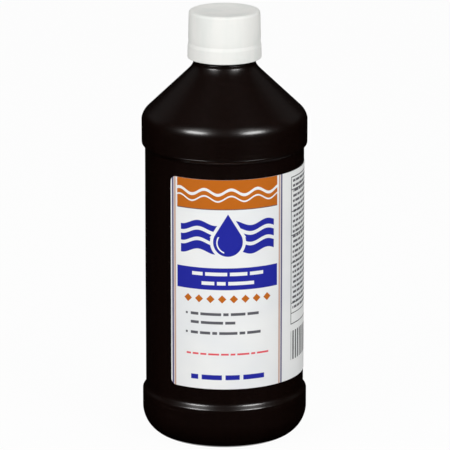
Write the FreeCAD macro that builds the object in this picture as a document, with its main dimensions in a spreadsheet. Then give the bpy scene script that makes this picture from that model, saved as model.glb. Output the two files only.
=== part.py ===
"""Round half-litre solution bottle with a screw cap, an induction seal and a wrap label.

Millimetres, +Z up, the bottle's axis on Z, the standing ring on Z = 0 and the middle
of the label's front on -Y. Every length below is a cell of the sheet named Sizes, and
every piece takes its size and place from those cells.
"""
import FreeCAD
import Part
import Sketcher
import math
import os
import re

SIZES = {
    # Blown bottle, outside, from the base up
    "bumper_radius": (34.75, "outside radius of the two bumper bands"),
    "heel_setback": (6.55, "how far the standing ring lies inside the bumpers"),
    "ring_width": (3.0, "width of the flat standing ring"),
    "base_pushup": (4.0, "height of the hollow under the base"),
    "heel_height": (10.6, "height of the rounded heel"),
    "lower_bumper_height": (7.2, "straight part of the lower bumper"),
    "lower_step_height": (3.0, "rounded step up to the label panel"),
    "panel_height": (102.8, "height of the label panel"),
    "panel_recess": (1.4, "depth of the label panel below the bumpers"),
    "upper_step_height": (2.4, "rounded step from the panel to the upper bumper"),
    "upper_bumper_height": (9.2, "straight part of the upper bumper"),
    "shoulder_round": (6.5, "radius of the turn from bumper to cone"),
    "shoulder_slope": (43.8, "slope of the shoulder cone, in degrees"),
    # Blown bottle, wall and neck
    "bottle_wall": (1.0, "wall of the blown body"),
    "base_wall": (1.2, "wall of the base"),
    "finish_radius": (12.55, "radius of the neck finish at the thread root"),
    "finish_wall": (2.0, "wall of the neck finish"),
    "finish_height": (17.45, "neck finish, from the collar to the sealing land"),
    "collar_ledge": (0.5, "how far the collar stands out from the finish"),
    "collar_bead_height": (1.35, "height of each of the two collar beads"),
    "collar_bead_depth": (0.3, "how far a collar bead stands out"),
    "land_round": (0.5, "rounding of the sealing land's edges"),
    # Screw thread, six turns to the inch
    "thread_pitch": (4.2333, "rise of the thread in one turn"),
    "thread_turns": (1.5, "full-height turns of each thread"),
    "thread_fade": (0.15, "turns over which the bottle's thread runs out at each end"),
    "thread_drop": (2.7, "from the sealing land down to the thread's upper end"),
    "thread_depth": (1.15, "height of the bottle's thread above its root"),
    "thread_crest": (1.1, "width of the bottle thread's crest"),
    "thread_flank": (27.5, "slope of the thread flanks, in degrees"),
    "cap_thread_crest": (0.8, "width of the cap thread's crest"),
    "thread_crest_clearance": (0.3, "bottle thread crest to the cap's bore"),
    "thread_root_clearance": (0.4, "cap thread crest to the bottle's thread root"),
    "thread_flank_clearance": (0.3, "axial gap between the loaded flanks"),
    "thread_bite": (0.15, "how deep a thread is rooted in its wall"),
    # Seal and liner
    "seal_thickness": (0.15, "foil seal across the mouth"),
    "seal_overhang": (0.35, "how far the foil stands past the finish"),
    "liner_thickness": (1.0, "pulp board liner in the cap"),
    "liner_side_clearance": (0.4, "liner edge to the cap's bore"),
    # Screw cap
    "cap_foot_wall": (1.47, "wall of the cap at its foot"),
    "cap_draft": (1.3, "draft of the cap's side, in degrees"),
    "cap_foot_gap": (0.5, "cap foot to the collar when closed"),
    "cap_foot_round": (0.4, "rounding of the cap's foot"),
    "cap_lead_in": (0.5, "flare of the cap's bore at its foot"),
    "band_height": (6.1, "height of the cap's foot band"),
    "band_step": (0.12, "how far the foot band stands out"),
    "cap_plate": (1.45, "thickness of the cap's top"),
    "cap_dish": (0.45, "depth of the shallow dish in the cap's top"),
    "cap_rim_width": (1.9, "width of the rim around the dish"),
    "cap_top_round": (1.1, "rounding of the cap's top edge"),
    "liner_bead": (0.7, "how far the liner's retaining bead stands in"),
    "liner_bead_height": (0.8, "height of the retaining bead"),
    "liner_bead_gap": (0.1, "retaining bead to the liner"),
    # Label
    "label_glue": (0.05, "adhesive between panel and label"),
    "label_thickness": (0.15, "coated paper label"),
    "label_lower_margin": (6.5, "bare panel below the label"),
    "label_upper_margin": (6.0, "bare panel above the label"),
    "label_left": (41.5, "left end of the label, degrees round from the front"),
    "label_wrap": (263.5, "how far the label goes round, in degrees"),
    "label_corner": (2.6, "rounding of the label's corners"),
    # Contents
    "fill_rise": (9.8, "liquid's surface above the foot of the shoulder cone"),
    "wet_gap": (0.15, "liquid to the inside of the wall"),
}

# Places worked out from the sizes, each an expression of the sheet's cells
PANEL_RADIUS = "(bumper_radius - panel_recess)"
STANDING_RADIUS = "(bumper_radius - heel_setback)"
RING_INNER = f"({STANDING_RADIUS} - ring_width)"
HEEL_ARC = "((heel_setback^2 + heel_height^2) / (2 * heel_setback))"
LOWER_STEP_FOOT = "(heel_height + lower_bumper_height)"
LOWER_STEP_ARC = "((panel_recess^2 + lower_step_height^2) / (2 * panel_recess))"
PANEL_BOTTOM = f"({LOWER_STEP_FOOT} + lower_step_height)"
PANEL_TOP = f"({PANEL_BOTTOM} + panel_height)"
UPPER_STEP_ARC = "((panel_recess^2 + upper_step_height^2) / (2 * panel_recess))"
UPPER_STEP_HEAD = f"({PANEL_TOP} + upper_step_height)"
SHOULDER_START = f"({UPPER_STEP_HEAD} + upper_bumper_height)"
NECK_RADIUS = "(finish_radius + collar_ledge)"
COLLAR_BEAD_ARC = "((collar_bead_depth^2 + (collar_bead_height / 2)^2) / (2 * collar_bead_depth))"
MOUTH_RADIUS = "(finish_radius - finish_wall)"


def cone_foot(wall):
    """Radius and height at which the shoulder's turn, set in by a wall, meets the cone."""
    turn_radius = f"(shoulder_round - {wall})"
    radius = f"(bumper_radius - shoulder_round + {turn_radius} * sin(shoulder_slope))"
    height = f"({SHOULDER_START} + {turn_radius} * cos(shoulder_slope))"
    return radius, height


def cone_height(wall, radius):
    """Height at which the cone, set in by a wall, has a given radius."""
    foot_radius, foot_height = cone_foot(wall)
    return f"({foot_height} + ({foot_radius} - {radius}) * tan(shoulder_slope))"


NECK_BASE = cone_height("0", NECK_RADIUS)
COLLAR_TOP = f"({NECK_BASE} + 2 * collar_bead_height)"
LAND = f"({COLLAR_TOP} + finish_height)"
THREAD_RADIUS = "(finish_radius + thread_depth)"
THREAD_TOP = f"({LAND} - thread_drop)"
THREAD_FOOT = f"({THREAD_TOP} - thread_pitch * thread_turns)"
CAP_BORE = f"({THREAD_RADIUS} + thread_crest_clearance)"
CAP_THREAD_RADIUS = "(finish_radius + thread_root_clearance)"
FLANK_SUM = f"(({THREAD_RADIUS} - {CAP_THREAD_RADIUS}) * tan(thread_flank))"
THREAD_MESH = f"((thread_crest + cap_thread_crest) / 2 + {FLANK_SUM} + thread_flank_clearance)"
SEAL_RADIUS = "(finish_radius + seal_overhang)"
SEAL_TOP = f"({LAND} + seal_thickness)"
LINER_RADIUS = f"({CAP_BORE} - liner_side_clearance)"
LINER_TOP = f"({SEAL_TOP} + liner_thickness)"
CAP_FOOT = f"({COLLAR_TOP} + cap_foot_gap)"
CAP_FOOT_RADIUS = f"({CAP_BORE} + cap_foot_wall)"
CAP_DISH_FLOOR = f"({LINER_TOP} + cap_plate)"
CAP_TOP = f"({CAP_DISH_FLOOR} + cap_dish)"
BAND_TOP = f"({CAP_FOOT} + band_height)"
BAND_TOP_RADIUS = f"({CAP_FOOT_RADIUS} - band_height * tan(cap_draft))"
CAP_SIDE_RADIUS = f"({BAND_TOP_RADIUS} - band_step)"
CAP_TOP_RADIUS = f"({CAP_SIDE_RADIUS} - ({CAP_TOP} - {BAND_TOP}) * tan(cap_draft))"
CAP_DISH_RADIUS = f"({CAP_TOP_RADIUS} - cap_rim_width)"
BEAD_TOP = f"({SEAL_TOP} - liner_bead_gap)"
BEAD_FOOT = f"({BEAD_TOP} - liner_bead_height)"
BEAD_RADIUS = f"({CAP_BORE} - liner_bead)"
LABEL_INNER = f"({PANEL_RADIUS} + label_glue)"
LABEL_OUTER = f"({LABEL_INNER} + label_thickness)"
LABEL_BOTTOM = f"({PANEL_BOTTOM} + label_lower_margin)"
LABEL_TOP = f"({PANEL_TOP} - label_upper_margin)"

FRONT = -90
RIGHT, LEFT = 1, -1
NEAR = 1e-4
MILLILITRE = 1000

doc = FreeCAD.newDocument("solution_bottle")
sheet = doc.addObject("Spreadsheet::Sheet", "Sizes")
for row, (alias, (size, meaning)) in enumerate(SIZES.items(), start=1):
    sheet.set(f"A{row}", meaning)
    sheet.set(f"B{row}", str(size))
    sheet.setAlias(f"B{row}", alias)
doc.recompute()


def cells(expression):
    """The expression with each size's name turned into its cell."""
    return re.sub("[a-z_]+", lambda word: ("Sizes." if word[0] in SIZES else "") + word[0], expression)


def value(expression):
    """The number that an expression of sizes gives now."""
    found = sheet.evalExpression(cells(expression))
    return float(getattr(found, "Value", found))


def bind(item, expressions):
    """Ties properties of a document object to expressions of sizes."""
    for name, expression in expressions.items():
        item.setExpression(name, cells(expression))


def new_body(name):
    """An empty body whose label is the name of its node."""
    body = doc.addObject("PartDesign::Body", name)
    body.Label = name
    return body


def new_sketch(body, name):
    """A sketch on the body's upright XZ plane: across is the radius, up is the height."""
    plane = next(item for item in body.Origin.OriginFeatures if item.Role == "XZ_Plane")
    sketch = body.newObject("Sketcher::SketchObject", name)
    sketch.AttachmentSupport = [(plane, "")]
    sketch.MapMode = "FlatFace"
    return sketch


def arc_through(start, end, radius, side):
    """A circular arc from start to end that bulges to the right or left of the way there."""
    chord = end - start
    bulge = radius - math.sqrt(radius ** 2 - (chord.Length / 2) ** 2)
    aside = FreeCAD.Vector(chord.y, -chord.x, 0).normalize() * side * bulge
    return Part.Arc(start, (start + end) / 2 + aside, end)


def dimension(sketch, name, kind, places, expression):
    """Adds a named dimension to the sketch and ties it to an expression of sizes."""
    index = sketch.addConstraint(Sketcher.Constraint(kind, *places, value(expression)))
    sketch.renameConstraint(index, name)
    bind(sketch, {f"Constraints.{name}": expression})


def draw(sketch, outline):
    """Draws a closed outline of (radius, height) corners and fixes each corner by its cells.

    A corner may add the radius of the arc that leads to it, and the side it bulges to.
    """
    corners = [FreeCAD.Vector(value(across), value(up), 0) for across, up, *_ in outline]

    def end_at(line, corner):
        return min((1, 2), key=lambda end: sketch.getPoint(line, end).distanceToPoint(corner))

    for line, (_, _, *arc) in enumerate(outline):
        start, end = corners[line - 1], corners[line]
        if arc:
            radius, side = arc
            sketch.addGeometry(arc_through(start, end, value(radius), side))
            dimension(sketch, f"arc_{line}", "Radius", (line,), radius)
        else:
            sketch.addGeometry(Part.LineSegment(start, end))
    for line, (across, up, *_) in enumerate(outline):
        following = (line + 1) % len(outline)
        end = end_at(line, corners[line])
        meeting = (line, end, following, end_at(following, corners[line]))
        sketch.addConstraint(Sketcher.Constraint("Coincident", *meeting))
        for name, kind, axis, expression in (
            ("across", "DistanceX", -2, across),
            ("up", "DistanceY", -1, up),
        ):
            if expression == "0":
                sketch.addConstraint(Sketcher.Constraint("PointOnObject", line, end, axis))
            else:
                dimension(sketch, f"{name}_{line}", kind, (-1, 1, line, end), expression)


def spin(body, kind, name, outline, angle="360"):
    """Revolves an outline about the axis, to add to the body or to cut from it."""
    sketch = new_sketch(body, f"{name}_outline")
    draw(sketch, outline)
    doc.recompute()
    feature = body.newObject(f"PartDesign::{kind}", name)
    feature.Profile = sketch
    feature.ReferenceAxis = (sketch, ["V_Axis"])
    bind(feature, {"Angle": angle})
    doc.recompute()
    return feature


def wind(body, name, section, turns, cone="0", start_turn="0", downward=False):
    """Winds a section right-handed round the axis, on a cylinder or on a cone of a given angle."""
    sketch = new_sketch(body, f"{name}_section")
    upright = FreeCAD.Vector(0, 1, 0)
    start_angle = f"360 * {start_turn}"
    sketch.AttachmentOffset = FreeCAD.Placement(
        FreeCAD.Vector(), FreeCAD.Rotation(upright, value(start_angle))
    )
    bind(sketch, {"AttachmentOffset.Rotation.Angle": start_angle})
    draw(sketch, section)
    doc.recompute()
    thread = body.newObject("PartDesign::AdditiveHelix", name)
    thread.Profile = sketch
    thread.ReferenceAxis = (sketch, ["V_Axis"])
    thread.Mode = "pitch-turns-angle"
    thread.Reversed = downward
    bind(thread, {"Pitch": "thread_pitch", "Turns": turns, "Angle": cone})
    doc.recompute()


def thread_section(rooted, crest, middle, crest_width):
    """A trapezoid from a radius inside the wall to the crest, about a middle height."""
    half_crest = f"({crest_width} / 2)"
    half_root = f"({half_crest} + abs({crest} - {rooted}) * tan(thread_flank))"
    return [
        (rooted, f"({middle} - {half_root})"),
        (crest, f"({middle} - {half_crest})"),
        (crest, f"({middle} + {half_crest})"),
        (rooted, f"({middle} + {half_root})"),
    ]


def round_rings(body, name, rings, radius):
    """Rounds the circular edges at the given (radius, height) places."""
    base = body.Tip
    names = []
    for across, up in rings:
        names += [
            f"Edge{index}"
            for index, edge in enumerate(base.Shape.Edges, start=1)
            if not edge.Degenerated
            and isinstance(edge.Curve, Part.Circle)
            and abs(edge.Curve.Radius - value(across)) < NEAR
            and abs(edge.Curve.Center.z - value(up)) < NEAR
        ]
    fillet(body, name, names, radius, len(rings))


def fillet(body, name, edges, radius, expected):
    """Rounds the named edges of the body's last feature."""
    if len(edges) != expected:
        raise ValueError(f"{name}: found {len(edges)} edges, not {expected}")
    base = body.Tip
    rounding = body.newObject("PartDesign::Fillet", name)
    rounding.Base = (base, edges)
    bind(rounding, {"Radius": radius})
    doc.recompute()


def bottle_inside(gap):
    """The bottle's inside, from the middle of the base to the foot of the cone, less a gap."""
    wall = f"(bottle_wall + {gap})"
    base = f"(base_wall + {gap})"
    bumper = f"(bumper_radius - {wall})"
    panel = f"({PANEL_RADIUS} - {wall})"
    dome_arc = f"(({RING_INNER}^2 + base_pushup^2) / (2 * base_pushup))"
    heel_arc = f"({HEEL_ARC} - {wall})"
    heel_foot = f"(bumper_radius - {HEEL_ARC} + sqrt({heel_arc}^2 - (heel_height - {base})^2))"
    lower_arc = f"({LOWER_STEP_ARC} - {wall})"
    upper_arc = f"({UPPER_STEP_ARC} - {wall})"
    lower_rise = f"sqrt({lower_arc}^2 - ({lower_arc} - panel_recess)^2)"
    upper_rise = f"sqrt({upper_arc}^2 - ({upper_arc} - panel_recess)^2)"
    return [
        ("0", f"(base_pushup + {base})"),
        (RING_INNER, base, dome_arc, LEFT),
        (heel_foot, base),
        (bumper, "heel_height", heel_arc, RIGHT),
        (bumper, LOWER_STEP_FOOT),
        (panel, f"({LOWER_STEP_FOOT} + {lower_rise})", lower_arc, RIGHT),
        (panel, f"({UPPER_STEP_HEAD} - {upper_rise})"),
        (bumper, UPPER_STEP_HEAD, upper_arc, RIGHT),
        (bumper, SHOULDER_START),
        (*cone_foot(wall), f"(shoulder_round - {wall})", RIGHT),
    ]


def make_bottle():
    """One blown piece: ringed base, two bumpers round a label panel, cone, collar and threaded finish."""
    body = new_body("bottle")
    bead_middle = f"({NECK_BASE} + collar_bead_height)"
    spin(body, "Revolution", "blank", [
        ("0", "base_pushup"),
        (RING_INNER, "0", f"(({RING_INNER}^2 + base_pushup^2) / (2 * base_pushup))", LEFT),
        (STANDING_RADIUS, "0"),
        ("bumper_radius", "heel_height", HEEL_ARC, RIGHT),
        ("bumper_radius", LOWER_STEP_FOOT),
        (PANEL_RADIUS, PANEL_BOTTOM, LOWER_STEP_ARC, RIGHT),
        (PANEL_RADIUS, PANEL_TOP),
        ("bumper_radius", UPPER_STEP_HEAD, UPPER_STEP_ARC, RIGHT),
        ("bumper_radius", SHOULDER_START),
        (*cone_foot("0"), "shoulder_round", RIGHT),
        (NECK_RADIUS, NECK_BASE),
        (NECK_RADIUS, bead_middle, COLLAR_BEAD_ARC, RIGHT),
        (NECK_RADIUS, COLLAR_TOP, COLLAR_BEAD_ARC, RIGHT),
        ("finish_radius", COLLAR_TOP),
        ("finish_radius", LAND),
        ("0", LAND),
    ])
    rooted = "(finish_radius - thread_bite)"
    sink = "atan(-1 * (thread_depth + thread_bite) / (thread_pitch * thread_fade))"
    foot = thread_section(rooted, THREAD_RADIUS, THREAD_FOOT, "thread_crest")
    top = thread_section(rooted, THREAD_RADIUS, THREAD_TOP, "thread_crest")
    wind(body, "thread", foot, "thread_turns")
    wind(body, "thread_start", foot, "thread_fade", sink, downward=True)
    wind(body, "thread_end", top, "thread_fade", sink, start_turn="thread_turns")
    solid = body.Tip.Shape.Volume
    spin(body, "Groove", "cavity", bottle_inside("0") + [
        (MOUTH_RADIUS, cone_height("bottle_wall", MOUTH_RADIUS)),
        (MOUTH_RADIUS, LAND),
        ("0", LAND),
    ])
    print(f"brimful {(solid - body.Tip.Shape.Volume) / MILLILITRE:.1f} ml")
    round_rings(body, "land_edges", [("finish_radius", LAND), (MOUTH_RADIUS, LAND)], "land_round")
    return body


def make_solution():
    """The liquid, filling the bottle to a level in the shoulder."""
    body = new_body("solution")
    wall = "(bottle_wall + wet_gap)"
    foot_radius, foot_height = cone_foot(wall)
    surface_radius = f"({foot_radius} - fill_rise / tan(shoulder_slope))"
    surface = f"({foot_height} + fill_rise)"
    spin(body, "Revolution", "fill", bottle_inside("wet_gap") + [
        (surface_radius, surface),
        ("0", surface),
    ])
    print(f"contents {body.Shape.Volume / MILLILITRE:.1f} ml to {value(surface):.1f} mm")
    return body


def make_disc(name, radius, foot, thickness):
    """A flat round piece on the axis."""
    disc = doc.addObject("Part::Cylinder", name)
    disc.Label = name
    bind(disc, {"Radius": radius, "Height": thickness, "Placement.Base.z": foot})
    return disc


def make_cap():
    """One moulded piece: drafted side with a foot band, dished top, liner bead and inner thread."""
    body = new_body("screw_cap")
    spin(body, "Revolution", "blank_cap", [
        ("0", CAP_FOOT),
        (CAP_FOOT_RADIUS, CAP_FOOT),
        (BAND_TOP_RADIUS, BAND_TOP),
        (CAP_SIDE_RADIUS, BAND_TOP),
        (CAP_TOP_RADIUS, CAP_TOP),
        (CAP_DISH_RADIUS, CAP_TOP),
        (CAP_DISH_RADIUS, CAP_DISH_FLOOR),
        ("0", CAP_DISH_FLOOR),
    ])
    round_rings(body, "cap_top_edge", [(CAP_TOP_RADIUS, CAP_TOP)], "cap_top_round")
    round_rings(body, "cap_foot_edge", [(CAP_FOOT_RADIUS, CAP_FOOT)], "cap_foot_round")
    spin(body, "Groove", "cap_inside", [
        ("0", CAP_FOOT),
        (f"({CAP_BORE} + cap_lead_in)", CAP_FOOT),
        (CAP_BORE, f"({CAP_FOOT} + 2 * cap_lead_in)"),
        (CAP_BORE, BEAD_FOOT),
        (BEAD_RADIUS, f"({BEAD_FOOT} + liner_bead_height / 2)"),
        (BEAD_RADIUS, BEAD_TOP),
        (CAP_BORE, BEAD_TOP),
        (CAP_BORE, LINER_TOP),
        ("0", LINER_TOP),
    ])
    middle = f"({THREAD_FOOT} - {THREAD_MESH})"
    rooted = f"({CAP_BORE} + thread_bite)"
    section = thread_section(rooted, CAP_THREAD_RADIUS, middle, "cap_thread_crest")
    wind(body, "cap_thread", section, "thread_turns")
    return body


def make_label():
    """One paper label, glued round most of the panel, with rounded corners."""
    body = new_body("wrap_label")
    start = f"({FRONT} - label_left)"
    body.Placement.Rotation = FreeCAD.Rotation(FreeCAD.Vector(0, 0, 1), value(start))
    bind(body, {"Placement.Rotation.Angle": start})
    paper = spin(body, "Revolution", "paper", [
        (LABEL_INNER, LABEL_BOTTOM),
        (LABEL_OUTER, LABEL_BOTTOM),
        (LABEL_OUTER, LABEL_TOP),
        (LABEL_INNER, LABEL_TOP),
    ], "label_wrap")
    corners = [
        f"Edge{index}"
        for index, edge in enumerate(paper.Shape.Edges, start=1)
        if abs(edge.Length - value("label_thickness")) < NEAR
    ]
    fillet(body, "label_corners", corners, "label_corner", 4)
    return body


def failed(item):
    """Whether a document object was left invalid or in error."""
    return not {"Invalid", "Error"}.isdisjoint(item.State)


pieces = [
    make_bottle(),
    make_label(),
    make_solution(),
    make_disc("foil_seal", SEAL_RADIUS, LAND, "seal_thickness"),
    make_disc("cap_liner", LINER_RADIUS, SEAL_TOP, "liner_thickness"),
    make_cap(),
]
doc.recompute()
broken = [item.Name for item in doc.Objects if failed(item)]
broken += [piece.Label for piece in pieces if piece.Shape.isNull() or not piece.Shape.isValid()]
broken += [piece.Label for piece in pieces if len(piece.Shape.Solids) != 1]
if broken:
    raise RuntimeError("not built: " + ", ".join(broken))

os.makedirs("parts", exist_ok=True)
for piece in pieces:
    piece.Shape.exportStep(f"parts/{piece.Label}.step")
    box = piece.Shape.BoundBox
    print(f"{piece.Label}: z {box.ZMin:.2f} to {box.ZMax:.2f}, {piece.Shape.Volume:.0f} mm3")
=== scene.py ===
"""Dresses a packed round solution bottle: shell, printed label, lined screw cap, foil seal and contents."""

import math
from functools import partial, reduce
from operator import or_

import bpy
import numpy as np
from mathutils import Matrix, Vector


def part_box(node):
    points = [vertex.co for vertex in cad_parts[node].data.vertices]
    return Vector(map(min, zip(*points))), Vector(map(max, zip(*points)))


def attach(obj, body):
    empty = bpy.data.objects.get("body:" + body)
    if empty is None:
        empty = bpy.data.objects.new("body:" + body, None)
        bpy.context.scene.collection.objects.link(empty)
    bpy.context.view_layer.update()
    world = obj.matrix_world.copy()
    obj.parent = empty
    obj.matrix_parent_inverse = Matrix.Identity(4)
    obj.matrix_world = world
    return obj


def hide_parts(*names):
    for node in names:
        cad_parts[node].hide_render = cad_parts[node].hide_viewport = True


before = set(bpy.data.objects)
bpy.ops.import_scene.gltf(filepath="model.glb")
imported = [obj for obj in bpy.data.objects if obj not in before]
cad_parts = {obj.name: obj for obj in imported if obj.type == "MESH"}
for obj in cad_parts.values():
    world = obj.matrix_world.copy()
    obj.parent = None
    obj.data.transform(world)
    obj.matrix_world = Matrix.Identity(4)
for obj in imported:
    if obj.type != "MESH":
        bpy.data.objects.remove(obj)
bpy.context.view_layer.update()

bl_info = {
    "name": "Solution Bottle",
    "version": (1, 0, 0),
    "blender": (4, 5, 0),
    "location": "View3D > Sidebar > Bottle",
    "description": "Builds the surfaces and finishes of a round screw-cap solution bottle",
    "category": "Object",
}

MM = 0.001
SHELL_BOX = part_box("bottle")
LABEL_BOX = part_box("wrap_label")
FOIL_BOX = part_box("foil_seal")
LINER_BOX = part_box("cap_liner")
CAP_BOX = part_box("screw_cap")
FILL_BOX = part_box("solution")

QUARTER = math.pi / 2

# Outlines are first drawn in steps this long, then thinned to rows, with fewer on hidden inner walls
STEP = 0.05 * MM
LONGEST_ROW = 5 * MM
TURN_PER_ROW = math.radians(5)
INNER_CARE = 0.3
COLUMNS = 240
SHARP = math.radians(65)

# How far the worked-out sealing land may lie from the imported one
FIT = 0.1 * MM

# Waves of the blown wall's wander: lobes round it, start in radians and twist in radians a metre
WANDER_WAVES = ((2, 0.7, 31), (3, 2.1, -57), (5, 4.0, 83))

# The label's map, and the share of its height that the unprinted faces take at its foot
PRINT_MAP = "OFBake"
MAP_MARGIN = 0.06


def length(millimetres, note):
    """Starts a property that holds a length."""
    return partial(
        bpy.props.FloatProperty, default=millimetres * MM, description=note, unit="LENGTH", precision=5
    )


def angle(degrees, note):
    """Starts a property that holds an angle."""
    return partial(
        bpy.props.FloatProperty, default=math.radians(degrees), description=note, unit="ROTATION"
    )


def amount(number, note, subtype="NONE"):
    """Starts a property that holds a plain number."""
    return partial(bpy.props.FloatProperty, default=number, description=note, subtype=subtype)


def colour(screen, note):
    """Starts a property that holds a colour, given as it looks on a screen, from 0 to 255."""
    shares = [part / 255 for part in screen]
    linear = [((share + 0.055) / 1.055) ** 2.4 if share > 0.04 else share / 12.92 for share in shares]
    return partial(
        bpy.props.FloatVectorProperty, default=linear, description=note, subtype="COLOR", min=0.0, max=1.0
    )


def titled(group):
    """Makes each property of a group, with its own name in plain words as its title."""
    for name, start in group.__annotations__.items():
        group.__annotations__[name] = start(name=name.replace("_", " ").capitalize())
    return group


@titled
class ShellLook(bpy.types.PropertyGroup):
    """Sizes and colours of the blown bottle."""

    heel_setback: length(6.55, "How far the standing ring lies inside the bumpers")
    ring_width: length(3.0, "Width of the flat standing ring")
    base_pushup: length(4.0, "Height of the hollow under the base")
    heel_height: length(10.6, "Height of the rounded heel")
    lower_bumper: length(7.3, "Straight part of the lower bumper")
    lower_step: length(3.2, "Rounded step up to the label panel")
    panel_height: length(102.5, "Height of the label panel")
    panel_recess: length(1.4, "Depth of the label panel below the bumpers")
    upper_step: length(2.4, "Rounded step from the panel to the upper bumper")
    upper_bumper: length(9.2, "Straight part of the upper bumper")
    shoulder_round: length(6.5, "Radius of the turn from bumper to cone")
    shoulder_slope: angle(43.8, "Slope of the shoulder cone")
    wall: length(1.0, "Wall of the blown body")
    base_wall: length(1.2, "Wall of the base")
    finish_radius: length(12.55, "Radius of the neck finish at the thread root")
    finish_wall: length(2.0, "Wall of the neck finish")
    finish_height: length(17.45, "From the collar to the sealing land")
    collar_ledge: length(0.5, "How far the collar stands out from the finish")
    collar_height: length(2.7, "From the cone's corner to the top of the collar")
    flare_round: length(12.0, "Wide hollow curve at the top of the cone")
    flare_turn: angle(17.0, "How far the cone steepens in that curve")
    fillet_round: length(0.5, "Tight hollow curve between cone and collar")
    rim_height: length(0.65, "Slanting top of the flare, below the bead")
    bead_height: length(0.6, "Height of the bead on the collar")
    bead_depth: length(0.12, "How far the bead stands out")
    land_round: length(0.5, "Rounding of the sealing land's edges")
    softness: length(0.16, "How far the blown corners are eased")
    groove_depth: length(0.085, "Witness groove at the mould insert's upper edge")
    groove_width: length(0.14, "Half width of the witness groove")
    seam_height: length(0.07, "Ridge where the mould halves met")
    seam_width: length(0.2, "Half width of that ridge")
    wander: length(0.06, "How far the thin wall draws in as it cools")
    weld_height: length(0.35, "Pinched weld under the base")
    weld_width: length(0.7, "Half width of the pinched weld")
    weld_reach: length(17.0, "Half length of the pinched weld")
    plastic: colour((13, 3, 1), "Dark brown polyethylene")
    streak: colour((17, 5, 3), "Paler drawn streaks in the plastic")
    scuff: colour((48, 38, 34), "Rubbed plastic on the bumpers")
    haze: colour((255, 240, 226), "Tint of the light that the hazy plastic mirrors")
    shine: amount(0.05, "How much the hazy plastic mirrors, half being plain", "FACTOR")
    polish: amount(1.0, "Share of the smooth skin over the hazy plastic", "FACTOR")
    skin_roughness: amount(0.245, "Roughness of that skin", "FACTOR")
    skin_index: amount(1.7, "Refractive index that the skin shows")


@titled
class ThreadLook(bpy.types.PropertyGroup):
    """Sizes of the screw thread on the neck and in the cap."""

    pitch: length(4.2333, "Rise of the thread in one turn")
    turns: amount(1.5, "Full-height turns")
    fade: amount(0.15, "Turns over which the bottle's thread runs out")
    cap_fade: amount(0.03, "Turns over which the cap's thread runs out")
    drop: length(2.7, "From the sealing land down to the thread's upper end")
    depth: length(1.15, "Height of the bottle's thread above its root")
    crest: length(1.1, "Width of the bottle thread's crest")
    flank: angle(27.5, "Slope of the thread's flanks")
    cap_crest: length(0.8, "Width of the cap thread's crest")
    crest_clearance: length(0.3, "Bottle thread's crest to the cap's bore")
    root_clearance: length(0.4, "Cap thread's crest to the bottle's thread root")
    flank_clearance: length(0.3, "Axial gap between the loaded flanks")
    row_height: length(0.11, "Spacing of the mesh rows along a thread")


@titled
class LabelLook(bpy.types.PropertyGroup):
    """Sizes and inks of the printed label."""

    thickness: length(0.15, "Coated paper")
    corner: length(2.6, "Rounding of the label's corners")
    left: angle(41.5, "Left end of the label, round from the front")
    wrap: angle(263.5, "How far the label goes round")
    lift: length(0.09, "How far the two ends stand off the panel")
    crease: length(0.05, "Height of the faint crease near the top")
    crease_across: length(13.6, "Middle of the crease, to the right of the front")
    crease_up: length(81.0, "Middle of the crease above the label's foot")
    crease_lean: amount(0.35, "How far the crease goes across as it rises")
    crease_width: length(0.7, "Half width of the crease")
    crease_reach: length(5.0, "Half length of the crease")
    paper: colour((238, 239, 238), "Coated white paper")
    shade: colour((232, 234, 235), "Cooler patches of the paper")
    orange: colour((192, 101, 0), "Header, lozenges and drop on the back")
    blue: colour((24, 32, 158), "Waves, drop and band")
    keyline: colour((92, 44, 14), "Thin line under the header")
    rule: colour((88, 82, 122), "Outer line of each side border")
    tan: colour((200, 162, 146), "Inner line of each side border")
    grey: colour((92, 92, 98), "Rows of small bars")
    black: colour((58, 60, 66), "Ruled boxes and upright bars")
    red: colour((228, 82, 92), "Row of short red bars")


@titled
class CapLook(bpy.types.PropertyGroup):
    """Sizes and colour of the screw cap."""

    foot_wall: length(1.47, "Wall of the cap at its foot")
    draft: angle(1.3, "Draft of the cap's side")
    foot_round: length(0.4, "Rounding of the cap's foot")
    lead_in: length(0.5, "Flare of the bore at the foot")
    band_height: length(6.1, "Height of the foot band")
    band_step: length(0.12, "How far the foot band stands out")
    band_slope: length(1.4, "Height over which the foot band falls back to the side")
    waist: length(0.19, "How far the side draws in above the foot band")
    waist_run: length(3.6, "Height over which the side draws in")
    dish: length(0.45, "Depth of the shallow dish in the top")
    dish_run: length(6.0, "How gently the rim falls into the dish")
    rim_width: length(1.9, "Width of the rim round the dish")
    top_round: length(1.1, "Rounding of the top edge")
    bead: length(0.7, "How far the liner's retaining bead stands in")
    bead_height: length(0.8, "Height of the retaining bead")
    bead_gap: length(0.1, "Retaining bead to the liner")
    softness: length(0.08, "How far the moulded corners are eased")
    gate_radius: length(1.6, "Small round mark left where the mould was filled")
    gate_depth: length(0.12, "Depth of that mark")
    white: colour((237, 237, 233), "White polypropylene")
    cool: colour((231, 233, 229), "Cooler patches of the white")


@titled
class SealLook(bpy.types.PropertyGroup):
    """Sizes and colours of the foil seal and the cap's liner."""

    sag: length(0.3, "How far the foil dips over the mouth")
    wrinkle: length(0.035, "Height of the foil's fine radial wrinkles")
    wrinkle_count: amount(46.0, "Wrinkles round the mouth")
    edge_droop: length(0.16, "How far the foil's free edge bends down")
    foil_thickness: length(0.09, "Thickness that the foil shows")
    imprint: length(0.06, "Ring that the land presses into the liner")
    imprint_width: length(0.8, "Half width of that ring")
    edge_round: length(0.18, "Rounding of the liner's cut edge")
    foil: colour((222, 224, 228), "Bare aluminium")
    foil_dark: colour((206, 209, 214), "Duller patches of the foil")
    board: colour((221, 211, 190), "Pulp board")
    fibre: colour((190, 175, 148), "Darker fibres in the board")


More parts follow.
